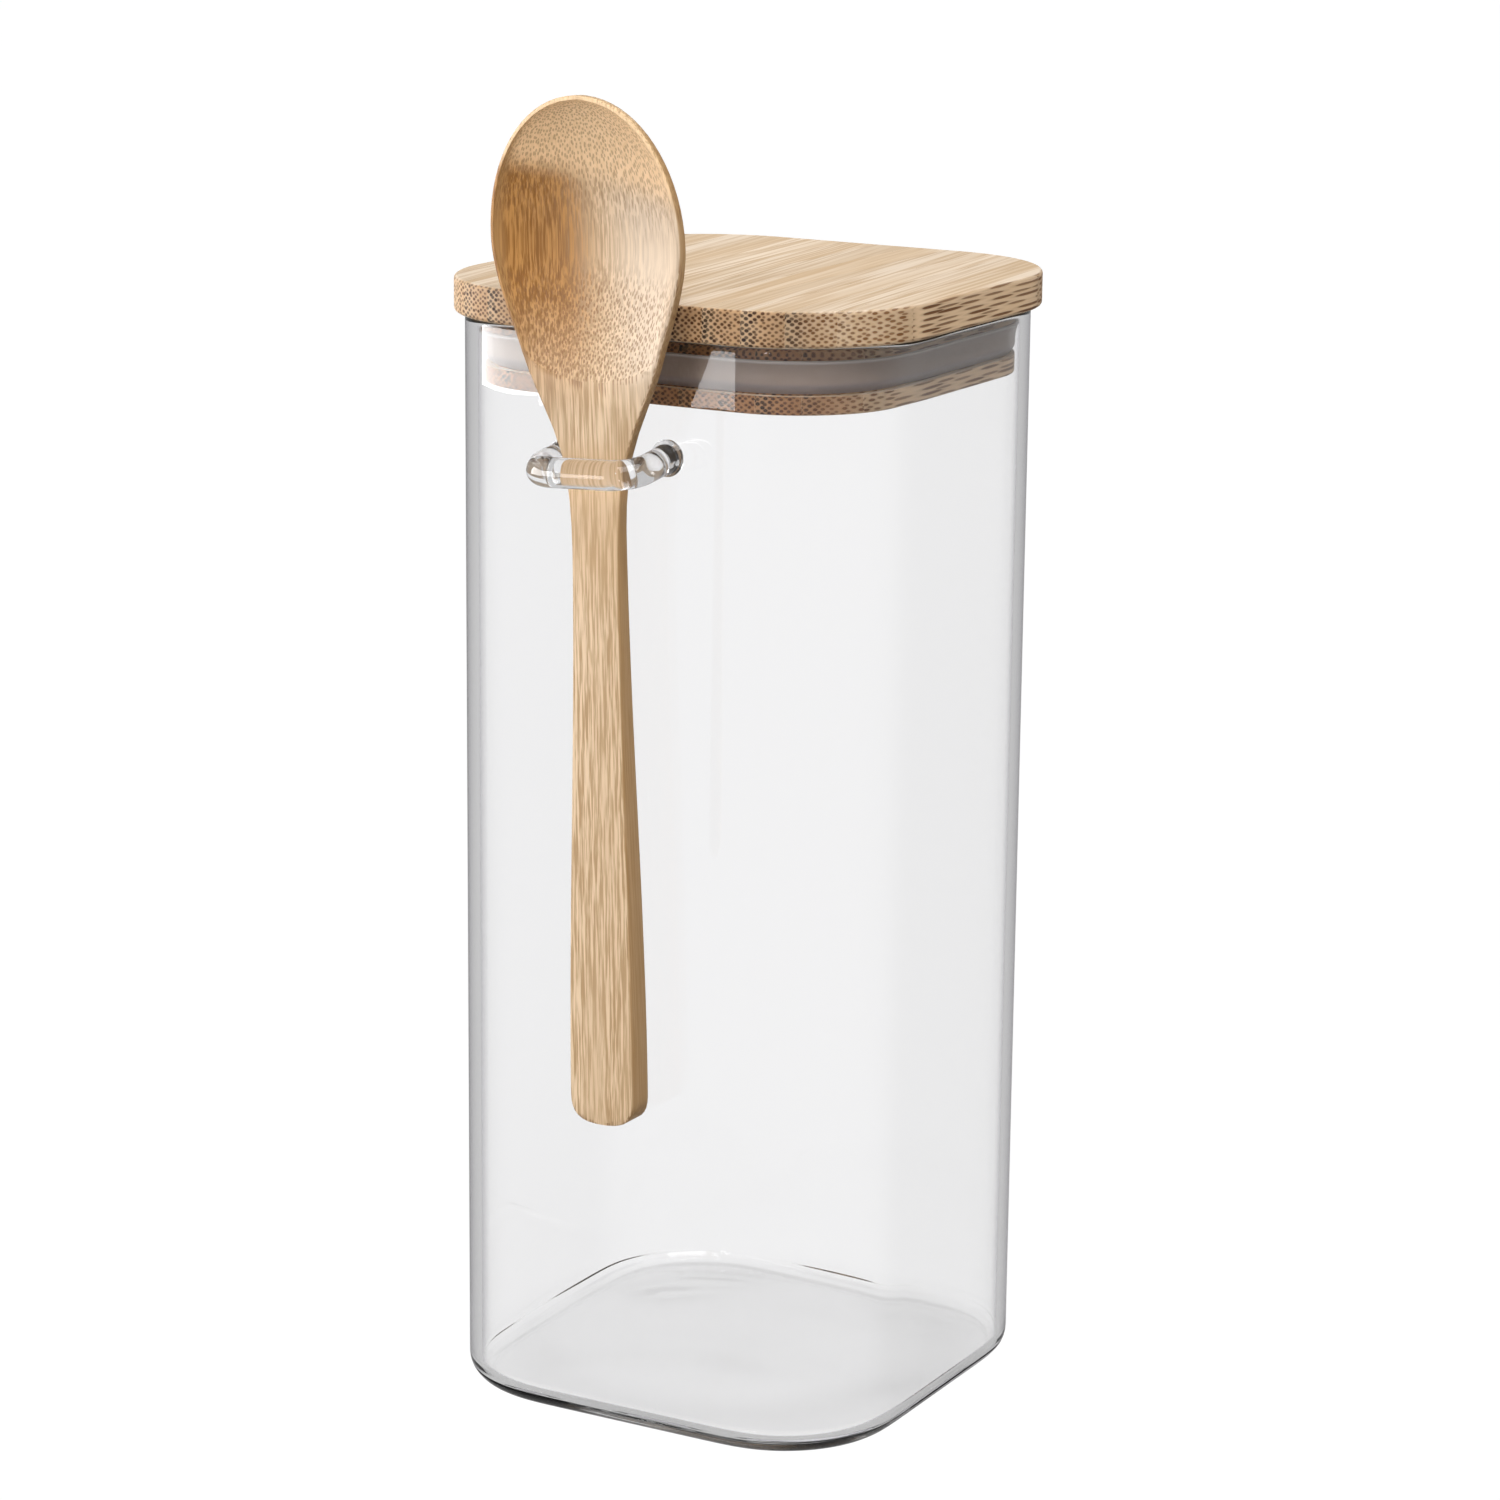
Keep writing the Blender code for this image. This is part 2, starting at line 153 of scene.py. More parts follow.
class Finish:
    """A material under construction."""

    def __init__(self, name, world=False):
        self.material = (bpy.data.worlds if world else bpy.data.materials).new(name)
        self.material.use_nodes = True
        self.tree = self.material.node_tree
        self.shader = self.tree.nodes["Background" if world else "Principled BSDF"]
        self.output = self.tree.nodes["World Output" if world else "Material Output"]

    def node(self, kind, settings=(), outlet=0, **inputs):
        """Any node: its settings first, then the values or links of its sockets."""
        node = self.tree.nodes.new("ShaderNode" + kind)
        for key, setting in dict(settings).items():
            setattr(node, key, setting)
        for key, thing in inputs.items():
            name = key.replace("_", " ")
            socket = next(s for s in node.inputs if s.name == name and s.enabled)
            if isinstance(thing, Value):
                self.tree.links.new(thing.socket, socket)
            else:
                socket.default_value = thing
        return Value(self.tree, node.outputs[outlet])

    def place(self, kind="Object"):
        return self.node("TexCoord", outlet=kind)

    def split(self, vector):
        return [self.node("SeparateXYZ", outlet=axis, Vector=vector) for axis in "XYZ"]

    def join(self, x=0, y=0, z=0):
        return self.node("CombineXYZ", X=x, Y=y, Z=z)

    def path(self, kind):
        return self.node("LightPath", outlet=kind)

    def layer(self, share, second):
        """Lay a second shader over the finish by a share."""
        mix = self.node("MixShader", Fac=share)
        inputs = mix.socket.node.inputs
        self.tree.links.new(self.shader.outputs[0], inputs[1])
        self.tree.links.new(second.socket, inputs[2])
        self.tree.links.new(mix.socket, self.output.inputs["Surface"])

    def blend(self, share, first, second, kind="MIX"):
        """Mix two colours by a share."""
        node = self.tree.nodes.new("ShaderNodeMix")
        node.data_type = "RGBA"
        node.blend_type = kind
        for place, thing in ((0, share), (6, first), (7, second)):
            if isinstance(thing, Value):
                self.tree.links.new(thing.socket, node.inputs[place])
            elif place:
                node.inputs[place].default_value = (*thing, 1)
            else:
                node.inputs[place].default_value = thing
        return Value(self.tree, node.outputs[2])

    def ease(self, value, low, high):
        """0 below low, 1 above high, smooth between."""
        settings = {"interpolation_type": "SMOOTHSTEP"}
        return self.node("MapRange", settings, Value=value, From_Min=low, From_Max=high)

    def set(self, **inputs):
        for key, thing in inputs.items():
            socket = self.shader.inputs[key.replace("_", " ")]
            if isinstance(thing, Value):
                self.tree.links.new(thing.socket, socket)
            elif isinstance(thing, tuple):
                socket.default_value = (*thing, 1)
            else:
                socket.default_value = thing

    def bump(self, height, distance):
        self.set(Normal=self.node("Bump", Height=height, Distance=distance, Strength=1.0))


def square_skin(profile, closed=False, corner_centre=CORNER_CENTRE, soft=0):
    """Draw a square outline with round corners through a profile of (half width, height) steps.

    A soft outline runs gently from its flats into its corners, as blown glass does."""
    bm = bmesh.new()
    start_half, start_height = profile[0]
    bmesh.ops.create_grid(bm, x_segments=1, y_segments=1, size=start_half)
    radius = start_half - corner_centre
    bmesh.ops.bevel(bm, geom=bm.verts[:], offset=radius, offset_type="OFFSET", affect="VERTICES",
                    segments=CORNER_SEGMENTS, profile=0.5, material=-1, clamp_overlap=False)
    bmesh.ops.translate(bm, verts=bm.verts[:], vec=(0, 0, start_height))
    if soft:
        flats = [edge for edge in bm.edges if edge.calc_length() > corner_centre]
        bmesh.ops.subdivide_edges(bm, edges=flats, cuts=FLAT_CUTS)
        for _ in range(soft):
            bmesh.ops.smooth_vert(bm, verts=bm.verts[:], factor=0.5,
                                  use_axis_x=True, use_axis_y=True)
    first = bm.edges[:]
    if closed:
        bmesh.ops.delete(bm, geom=bm.faces[:], context="FACES_ONLY")
    rim, half, height = first, start_half, start_height
    for next_half, next_height in profile[1:]:
        grown = bmesh.ops.extrude_edge_only(bm, edges=rim)["geom"]
        rim = [part for part in grown if isinstance(part, bmesh.types.BMEdge)]
        points = [part for part in grown if isinstance(part, bmesh.types.BMVert)]
        for point in points:
            x = max(-corner_centre, min(corner_centre, point.co.x))
            y = max(-corner_centre, min(corner_centre, point.co.y))
            outward = Vector((point.co.x - x, point.co.y - y, 0)).normalized()
            point.co += outward * (next_half - half)
            point.co.z += next_height - height
        half, height = next_half, next_height
    if closed:
        bmesh.ops.bridge_loops(bm, edges=first + rim)
    else:
        bmesh.ops.edgeloop_fill(bm, edges=rim)
    bmesh.ops.recalc_face_normals(bm, faces=bm.faces[:])
    return bm


def arc(centre, radius, start, end, steps):
    """Points of (half width, height) on an arc, from one angle to another in degrees."""
    points = []
    for step in range(steps + 1):
        angle = radians(start + (end - start) * step / steps)
        points.append((centre[0] + radius * cos(angle), centre[1] + radius * sin(angle)))
    return points


def finish_piece(name, bm, material, body, nodes, smooth_angle=40):
    """Turn a mesh into a named piece that rides on its body and stands for its CAD nodes."""
    mesh = bpy.data.meshes.new(name)
    bm.to_mesh(mesh)
    bm.free()
    mesh.materials.append(material)
    mesh.shade_smooth()
    mesh.set_sharp_from_angle(angle=radians(smooth_angle))
    piece = bpy.data.objects.new(name, mesh)
    bpy.context.collection.objects.link(piece)
    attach(piece, body)
    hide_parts(*nodes)
    return piece


def even_normals(piece):
    """Let the large flat faces set the shading, so that flat glass and board look flat."""
    weighted = piece.modifiers.new("even_normals", "WEIGHTED_NORMAL")
    weighted.weight = FLAT_WEIGHT
    weighted.keep_sharp = True


def clear_glass(name, wavy_floor=False):
    """Clear glass: painted shade dims the light that crosses it at a slant, in a lavender tone, and
    it lets lamps through.
    """
    finish = Finish(name)
    # Painted shade: the glass turns darker and lavender where it is seen at a slant.
    slant = finish.node("LayerWeight", outlet="Facing", Blend=0.5)
    tint_with_edge_shade = finish.blend(finish.ease(slant, SLANT_START, SLANT_FULL), GLASS_TINT, GLASS_EDGE_PAINTED_SHADE)
    finish.set(Base_Color=tint_with_edge_shade, Roughness=0.0, IOR=GLASS_BEND, Transmission_Weight=1.0)
    if wavy_floor:
        x, y, z = finish.split(finish.place())
        wave = finish.node("TexNoise", Vector=finish.join(x, y), Scale=FLOOR_WAVE_SCALE, Detail=0.0)
        on_floor = 1.0 - finish.ease(z, FLOOR_WAVE_LOW, FLOOR_WAVE_HIGH)
        finish.bump(wave * on_floor, FLOOR_WAVE_DEPTH)
    clear = finish.node("BsdfTransparent", Color=GLASS_SHADOW)
    finish.layer(finish.path("Is Shadow Ray"), clear)
    return finish.material


inner_half = GLASS_HALF - GLASS_WALL
foot_centre = (GLASS_HALF - FOOT_RADIUS, FOOT_RADIUS)
rim_centre = (GLASS_HALF - GLASS_WALL / 2, GLASS_TOP - GLASS_WALL / 2)
floor_centre = (inner_half - FLOOR_RADIUS, GLASS_FLOOR + FLOOR_RADIUS)
jar_profile = [(GLASS_HALF - FOOT_RADIUS, 0)]
jar_profile += arc(foot_centre, FOOT_RADIUS, -90, 0, FOOT_STEPS)[1:]
jar_profile += arc(rim_centre, GLASS_WALL / 2, 0, 180, RIM_STEPS)
jar_profile += arc(floor_centre, FLOOR_RADIUS, 0, -90, FLOOR_STEPS)
jar = finish_piece("jar_glass", square_skin(jar_profile, soft=GLASS_SOFTNESS),
                   clear_glass("jar_glass", wavy_floor=True), "jar", ["glass_jar"])
even_normals(jar)


# Loop. A clear glass rod, bent while hot to a flat U and fused by both ends to the front wall,
# where it swells into the wall. It carries the spoon by its neck.
ROD_RADIUS = 0.00262
LOOP_REACH = 0.01198
LOOP_HALF_WIDTH = 0.0102
LOOP_BEND = 0.0048
LOOP_MIDDLE_X = -0.0018
LOOP_HEIGHT = 0.1809
LOOP_DROOP = 0.0015
LOOP_TILT = 0.0005
WELD_DEPTH = 0.0002
WELD_FLARE = [(0.0, 1.26), (0.0003, 1.27), (0.0006, 1.20), (0.0010, 1.07), (0.0015, 1.0)]
ROD_SEGMENTS = 32
BEND_STEPS = 14
FRONT_STEPS = 4


def bent_rod():
    """Extrude a round section from the wall, round two bends, and back to the wall."""
    bm = bmesh.new()
    wall = -GLASS_HALF + WELD_DEPTH
    front = -GLASS_HALF - LOOP_REACH
    side = LOOP_HALF_WIDTH - LOOP_BEND
    circle = bmesh.ops.create_circle(bm, cap_ends=False, segments=ROD_SEGMENTS, radius=ROD_RADIUS)
    ring = circle["verts"]
    turn = Matrix.Rotation(pi / 2, 3, "X")
    bmesh.ops.rotate(bm, verts=ring, cent=(0, 0, 0), matrix=turn)
    bmesh.ops.translate(bm, verts=ring, vec=(-LOOP_HALF_WIDTH, wall, 0))
    edges = bm.edges[:]
    start = edges

    def pull(edges, vec):
        grown = bmesh.ops.extrude_edge_only(bm, edges=edges)["geom"]
        points = [part for part in grown if isinstance(part, bmesh.types.BMVert)]
        bmesh.ops.translate(bm, verts=points, vec=vec)
        return [part for part in grown if isinstance(part, bmesh.types.BMEdge)]

    def swing(edges, centre):
        turned = bmesh.ops.spin(bm, geom=edges, cent=centre, axis=(0, 0, 1), angle=pi / 2,
                                steps=BEND_STEPS)
        return [part for part in turned["geom_last"] if isinstance(part, bmesh.types.BMEdge)]

    bend_y = front + LOOP_BEND
    steps = [step for step, _ in WELD_FLARE[1:]] + [(wall - bend_y) * 0.5, wall - bend_y]
    last = 0
    for step in steps:
        edges = pull(edges, (0, -(step - last), 0))
        last = step
    edges = swing(edges, (-side, bend_y, 0))
    for _ in range(FRONT_STEPS):
        edges = pull(edges, (2 * side / FRONT_STEPS, 0, 0))
    edges = swing(edges, (side, bend_y, 0))
    back = [0.0] + steps
    for place in range(len(back) - 1, 0, -1):
        edges = pull(edges, (0, back[place] - back[place - 1], 0))
    bmesh.ops.edgeloop_fill(bm, edges=start)
    bmesh.ops.edgeloop_fill(bm, edges=edges)
    for point in bm.verts:
        depth = wall - point.co.y
        middle = LOOP_HALF_WIDTH if point.co.x > 0 else -LOOP_HALF_WIDTH
        for (near, wide), (far, slim) in zip(WELD_FLARE, WELD_FLARE[1:]):
            if near <= depth <= far + 1e-7:
                scale = wide + (slim - wide) * (depth - near) / (far - near)
                point.co.x = middle + (point.co.x - middle) * scale
                point.co.z *= scale
                break
    for point in bm.verts:
        share = (wall - point.co.y) / (wall - front)
        point.co.z += LOOP_HEIGHT - LOOP_DROOP * share + LOOP_TILT * point.co.x / LOOP_HALF_WIDTH
        point.co.x += LOOP_MIDDLE_X
    bmesh.ops.recalc_face_normals(bm, faces=bm.faces[:])
    return bm


finish_piece("loop_glass", bent_rod(), clear_glass("loop_glass"), "jar",
             ["spoon_loop"], smooth_angle=60)


# Lid board. Bamboo strips glued edge to edge and milled to one board, and sanded: a plate over the
# rim, and a plug in the mouth with a groove round it. Each strip has its dense side on the left.
SEAT_GAP = 0.0003
PLATE_HALF = 0.0462
PLATE_CORNER = 0.0268
PLATE_BOTTOM = GLASS_TOP + SEAT_GAP
PLATE_TOP = PLATE_BOTTOM + 0.0064
PLATE_ROUND = 0.0007
PLUG_HALF = 0.0403
PLUG_BOTTOM = PLATE_BOTTOM - 0.0122
PLUG_ROUND = 0.0005
GROOVE_HALF = 0.0388
GROOVE_BOTTOM = PLUG_BOTTOM + 0.0033
GROOVE_TOP = GROOVE_BOTTOM + 0.0057
STRIP_COUNT = 13
STRIP_WIDTH = 0.0073503
FIRST_SEAM = -0.0425
SEAM_GAP = 0.00003
PLATE_TOP_STEPS, ROUND_STEPS = 5, 4
MILLIMETRES = 1000
BUNDLE_ACROSS = 1.30
BUNDLE_RISE = 1.02
BUNDLE_DISORDER = 0.42
DENSE_BAND, END_FACING, SIDE_FACING = (0.05, 0.62), (0.25, 0.80), (0.35, 0.85)
DOT_EDGE, HALO_EDGE = (0.70, 1.20), (1.0, 2.0)
STREAK_SCALE, STREAK_BAND = 1000.0, (0.40, 0.62)
BROAD_SCALE, BROAD_BAND = 170.0, (0.42, 0.62)
BUNDLE_SIZE, BUNDLE_SPREAD = 0.31, 0.08
DENSE_EXTRA, DASH_THINNER = 0.10, 0.12
TOP_PALE, TOP_STREAK, TOP_BAND = (0.88, 0.73, 0.57), (0.65, 0.46, 0.28), (0.66, 0.475, 0.29)
END_DENSE, END_OPEN, SIDE_GROUND = (0.43, 0.25, 0.12), (0.64, 0.455, 0.285), (0.78, 0.55, 0.34)
DOT_OPEN, DOT_DENSE, DASH = (0.10, 0.040, 0.014), (0.018, 0.008, 0.005), (0.30, 0.13, 0.045)
# Painted shade on the plug's end grain below the plate.
PLUG_PAINTED_SHADE = (0.74, 0.57, 0.44)
# Painted light and shade on the cut faces: paler left of x = 26 mm, darker round the right corners.
FRONT_PAINTED_LIGHT, CORNER_PAINTED_SHADE, SIDE_PAINTED_LIGHT = 1.20, 0.38, 0.23
TURN_BAND, FLAT_SIDE = (0.026, 0.033), (0.975, 0.999)
UNDER_BAND = (PLATE_BOTTOM - 0.0004, PLATE_BOTTOM)
BOARD_RELIEF = 0.00006


def board(profile_part):
    """The plate or the plug of the whole board, before it is cut to strips."""
    if profile_part == "plate":
        edge = PLATE_HALF - PLATE_ROUND
        profile = arc((edge, PLATE_TOP - PLATE_ROUND), PLATE_ROUND, 90, 0, PLATE_TOP_STEPS)
        profile += arc((edge, PLATE_BOTTOM + PLATE_ROUND), PLATE_ROUND, 0, -90, ROUND_STEPS)
        return square_skin(profile, corner_centre=PLATE_HALF - PLATE_CORNER)
    profile = [(PLUG_HALF, PLATE_BOTTOM + SEAT_GAP), (PLUG_HALF, GROOVE_TOP),
               (GROOVE_HALF, GROOVE_TOP), (GROOVE_HALF, GROOVE_BOTTOM), (PLUG_HALF, GROOVE_BOTTOM)]
    edge = PLUG_HALF - PLUG_ROUND
    profile += arc((edge, PLUG_BOTTOM + PLUG_ROUND), PLUG_ROUND, 0, -90, ROUND_STEPS)
    return square_skin(profile)


def bundles(finish, lattice, disorder):
    """How far a point is from the middle of its fibre bundle, and a shade for each bundle."""
    cell = {"voronoi_dimensions": "2D", "feature": "F1"}
    inputs = {"Vector": lattice, "Scale": 1.0, "Randomness": disorder}
    far = finish.node("TexVoronoi", cell, **inputs)
    kind = finish.node("TexVoronoi", cell, outlet=1, **inputs)
    return far, finish.split(kind)[0]


def lid_bamboo():
    """Sanded bamboo: dots on the end grain, dashes on the right and left, streaks on top.

    Painted light and shade lie on the cut faces, and painted shade on the plug.
    """
    finish = Finish("lid_bamboo")
    x, y, z = finish.split(finish.place())
    nx, ny, _ = finish.split(finish.place("Normal"))
    strip_place = (x - FIRST_SEAM) / STRIP_WIDTH
    number = strip_place.maths("FLOOR")
    across = strip_place - number
    chance = finish.node("TexWhiteNoise", {"noise_dimensions": "1D"}, W=number)
    chance_2 = finish.node("TexWhiteNoise", {"noise_dimensions": "1D"}, W=number + 37.5)
    bend = finish.join(x * 0.3, y, z * 0.3)
    sway = finish.node("TexNoise", Vector=bend, Scale=70.0, Detail=1.0) - 0.5
    u = x + y * ((chance - 0.5) * 0.05 + 0.085) + sway * 0.0002 + chance * 0.0031
    v = z + y * ((chance_2 - 0.5) * 0.016) + sway * 0.0002 + chance_2 * 0.0023
    bundle_a, bundle_b = u * (MILLIMETRES / BUNDLE_ACROSS), v * (MILLIMETRES / BUNDLE_RISE)
    lattice = finish.join(bundle_a + bundle_b, bundle_a - bundle_b)
    far, shade = bundles(finish, lattice, BUNDLE_DISORDER)
    dense = 1.0 - finish.ease(across, *DENSE_BAND)
    end_grain = finish.ease(ny.maths("ABSOLUTE"), *END_FACING)
    side_grain = finish.ease(nx.maths("ABSOLUTE"), *SIDE_FACING)
    cut = end_grain.maths("MAXIMUM", side_grain)
    size = dense * DENSE_EXTRA + BUNDLE_SIZE + (shade - 0.5) * BUNDLE_SPREAD
    size = size - dense * side_grain * DASH_THINNER
    dot = 1.0 - finish.ease(far / size, *DOT_EDGE)
    halo = 1.0 - finish.ease(far / size, *HALO_EDGE)
    streak_place = finish.join(u, y * 0.012, v)
    streak = finish.node("TexNoise", Vector=streak_place, Scale=STREAK_SCALE, Detail=3.0,
                         Roughness=0.6)
    broad_place = finish.join(u, y * 0.03, v)
    broad = finish.node("TexNoise", Vector=broad_place, Scale=BROAD_SCALE, Detail=2.0)
    base = finish.blend(finish.ease(streak, *STREAK_BAND), TOP_PALE, TOP_STREAK)
    base = finish.blend(finish.ease(broad, *BROAD_BAND) * 0.6, base, TOP_BAND)
    tone = (chance_2 - 0.5) * 0.12 + 1.0
    base = finish.blend(1.0, base, finish.join(tone, tone, tone), "MULTIPLY")
    face = finish.blend(dense * 0.5, END_DENSE, END_OPEN)
    face = finish.blend(side_grain * 0.8, face, SIDE_GROUND)
    # Painted light and shade: the cut faces are paler left of x = 26 mm and darker beyond it, less
    # so on the flat right side.
    side_face = finish.ease(nx, *FLAT_SIDE)
    turned = finish.ease(x, *TURN_BAND)
    painted_light_and_shade = FRONT_PAINTED_LIGHT - turned * (CORNER_PAINTED_SHADE - side_face * SIDE_PAINTED_LIGHT)
    face = finish.blend(1.0, face, finish.join(painted_light_and_shade, painted_light_and_shade, painted_light_and_shade), "MULTIPLY")
    base = finish.blend(cut * 0.85, base, face)
    dark = finish.blend(dense, DOT_OPEN, DOT_DENSE)
    dark = finish.blend(side_grain * 0.55, dark, DASH)
    depth = (dot + halo * 0.25).maths("MINIMUM", 1.0) * (cut * 0.92 + 0.04)
    depth = depth * (shade * 0.3 + 0.75)
    colour = finish.blend(depth.maths("MINIMUM", 1.0), base, dark)
    # Painted shade: the plug's end grain below the plate is darker and browner.
    painted_shade_under = 1.0 - finish.ease(z, *UNDER_BAND)
    colour = finish.blend(painted_shade_under * end_grain, colour, PLUG_PAINTED_SHADE, "MULTIPLY")
    finish.set(Base_Color=colour, Roughness=0.6, Specular_IOR_Level=0.25)
    finish.bump((1.0 - dot * cut) * 0.8 + streak * 0.3, BOARD_RELIEF)
    return finish.material


lid_finish = lid_bamboo()
for number in range(STRIP_COUNT):
    strip = bmesh.new()
    for part in ("plate", "plug"):
        whole = board(part)
        for side, place in ((-1, FIRST_SEAM + (number - 1) * STRIP_WIDTH + SEAM_GAP / 2),
                            (1, FIRST_SEAM + number * STRIP_WIDTH - SEAM_GAP / 2)):
            if (side < 0 and number == 0) or (side > 0 and number == STRIP_COUNT - 1):
                continue
            everything = whole.verts[:] + whole.edges[:] + whole.faces[:]
            cut = bmesh.ops.bisect_plane(whole, geom=everything, plane_co=(place, 0, 0),
                                         plane_no=(side, 0, 0), clear_outer=True)
            edges = [item for item in cut["geom_cut"] if isinstance(item, bmesh.types.BMEdge)]
            if edges:
                bmesh.ops.edgeloop_fill(whole, edges=edges)
        carried = bpy.data.meshes.new("carried")
        whole.to_mesh(carried)
        whole.free()
        strip.from_mesh(carried)
        bpy.data.meshes.remove(carried)
    name = f"lid_bamboo_{number + 1:02d}"
    piece = finish_piece(name, strip, lid_finish, "lid",
                         [f"lid_strip_{number + 1:02d}"])
    even_normals(piece)


# Seal. A ring of milky silicone, moulded in one piece and stretched into the plug's groove. Its
# thin lip curves up and out, and reaches almost to the glass all round.
SEAL_INNER = GROOVE_HALF + 0.0002
SEAL_OUTER = inner_half - 0.0002
SEAL_LOW = GROOVE_BOTTOM + 0.0003
SEAL_TIP = GROOVE_TOP + 0.0004
SEAL_FOOT = SEAL_INNER + 0.0003
SEAL_BAND = 0.0012
SEAL_FLARE = SEAL_OUTER - SEAL_FOOT - SEAL_BAND
SEAL_STEPS = 14
BAND_QUICKNESS, FLARE_POWER = 3.2, 4.5
SEAL_BACK = [(SEAL_OUTER - 0.0003, SEAL_TIP + 0.0002), (SEAL_OUTER - 0.0007, SEAL_TIP),
             (SEAL_FOOT + SEAL_BAND - 0.0006, SEAL_TIP - 0.0010), (SEAL_FOOT, SEAL_TIP - 0.0008)]
FOOT_BAND = (SEAL_LOW + 0.0012, SEAL_LOW + 0.0022)
LIP_BAND = (SEAL_TIP - 0.0006, SEAL_TIP - 0.0001)
SEAL_RELIEF = 0.00004
SILICONE_BROWN, SILICONE_PALE = (0.36, 0.27, 0.22), (0.43, 0.34, 0.29)
# Painted shade at the seal's foot, and a painted highlight along its lip.
SILICONE_FOOT_SHADE, SILICONE_LIP_HIGHLIGHT = (0.27, 0.225, 0.225), (0.66, 0.61, 0.58)


def milky_silicone():
    """Translucent silicone: darker at its foot with painted shade, paler along its thin lip with a
    painted highlight.
    """
    finish = Finish("milky_silicone")
    z = finish.split(finish.place())[2]
    cloud = finish.node("TexNoise", Vector=finish.place(), Scale=260.0, Detail=2.0)
    # Painted shade darkens the foot, and a painted highlight makes the lip paler.
    foot_shade = 1.0 - finish.ease(z, *FOOT_BAND)
    lip_highlight = finish.ease(z, *LIP_BAND)
    colour = finish.blend(cloud, SILICONE_BROWN, SILICONE_PALE)
    colour = finish.blend(foot_shade * 0.8, colour, SILICONE_FOOT_SHADE)
    colour = finish.blend(lip_highlight, colour, SILICONE_LIP_HIGHLIGHT)
    finish.set(Base_Color=colour, Roughness=0.38, Alpha=0.80, IOR=1.41)
    finish.bump(cloud, SEAL_RELIEF)
    return finish.material


seal_profile = [(SEAL_INNER, SEAL_TIP - 0.0006), (SEAL_INNER, SEAL_LOW), (SEAL_FOOT, SEAL_LOW)]
for step in range(1, SEAL_STEPS + 1):
    rise = step / SEAL_STEPS
    band = SEAL_BAND * sin(pi / 2 * min(rise * BAND_QUICKNESS, 1))
    seal_profile.append((SEAL_FOOT + band + SEAL_FLARE * rise ** FLARE_POWER,
                         SEAL_LOW + (SEAL_TIP - SEAL_LOW) * rise))
seal_skin = square_skin(seal_profile + SEAL_BACK, closed=True, soft=GLASS_SOFTNESS)
finish_piece("seal_silicone", seal_skin, milky_silicone(), "lid", ["seal_ring"])


# Spoon. Carved from one piece of bamboo and sanded: a flat handle that narrows to the neck, and an
# egg-shaped bowl with a thin rim. It hangs by its neck in the glass loop. Heights here start at
# the loop and run up the spoon.
SPOON_LEAN = radians(0.92)
HANDLE_DROP = 0.1196
HANDLE_END_ROUND = 0.0056
BOWL_RISE = 0.0384
BOWL_TIP = 0.0248
BOWL_WIDTH = 0.0379
BOWL_THICKNESS = 0.0082
BOWL_FLOOR = 0.0024
HOLLOW_RIM = 0.0007
HOLLOW_START = 0.0140
HOLLOW_START_ROUND = 0.0050
TIP_POWER = 2.04
END_POWER = 3
START_POWER = 2
EDGE_ROUND = 0.0005
WAIST_Z, SHOULDER_Z = -0.0195, 0.0180
HANDLE_START = -HANDLE_DROP + HANDLE_END_ROUND
NECK_THICKNESS, RIM_THICKNESS, TIP_THICKNESS = 0.0026, 0.0022, 0.0017
HALF_WIDTHS = [(HANDLE_START, 0.0065), (WAIST_Z, 0.0047), (0, 0.0063),
               (SHOULDER_Z, 0.01355), (BOWL_RISE, BOWL_WIDTH / 2)]
EDGES = [(-HANDLE_DROP, 0.0058), (WAIST_Z, 0.00367), (0, NECK_THICKNESS),
         (BOWL_RISE, RIM_THICKNESS), (BOWL_RISE + BOWL_TIP, TIP_THICKNESS)]
BELLIES = [(0, NECK_THICKNESS), (SHOULDER_Z, 0.0054), (BOWL_RISE, BOWL_THICKNESS)]
DEPTH_POWER, HOLLOW_POWER, BELLY_POWER = 1.2, 0.62, 0.9
FORWARD_LEAN, LEAN_POWER = 0.0039, 1.1
SMALLEST_HALF, SMALLEST_LAND = 0.0012, 0.0001
CORNER_LIMIT, FACE_LIMIT = 2.2, 8
FACE_STEPS, ROUND_EDGE_STEPS = 24, 4
END_SLICES, HANDLE_SLICES, BOWL_SLICES, TIP_SLICES = 8, 30, 30, 18
FIRST_SLICE, LAST_SLICE, BOWL_CROWDING = 0.06, 0.965, 1.25
SPOON_X, SPOON_Y = -0.0013, -0.05268
FIBRES_ACROSS, FIBRES_DEEP, FIBRE_DISORDER = 0.78, 0.36, 0.72
FIBRE_DOT_EDGE, CUT_FACING = (0.75, 1.15), (0.03, 0.20)
FINE_SCALE, FINE_BAND = 2500.0, (0.40, 0.60)
WIDE_SCALE, WIDE_BAND = 260.0, (0.35, 0.7)
FRONT_FACING, BOWL_BAND, SIDE_TURN = (-0.25, 0.15), (0.186, 0.200), (0.50, 0.85)
GOLDEN_ACROSS, GOLDEN_TOP, GOLDEN_FOOT = (-0.009, 0.001), (0.2275, 0.233), (0.196, 0.212)
GOLDEN_FIBRE, SHEEN_ACROSS, SHEEN_TOP = (0.38, 0.62), (-0.002, 0.008), (0.222, 0.234)
TIP_BAND, STIPPLE_FADE = (0.2265, 0.2325), (0.218, 0.232)
HANDLE_TOP, NECK_BAND = (0.150, 0.170), (0.181, 0.186)
SPOON_PALE, SPOON_STREAK, SPOON_BAND = (0.82, 0.61, 0.40), (0.46, 0.285, 0.135), (0.64, 0.45, 0.27)
# Painted shade: the deep golden left of the bowl's hollow.
SHADED_GOLDEN_PALE, SHADED_GOLDEN_DEEP = (0.50, 0.225, 0.040), (0.25, 0.092, 0.008)
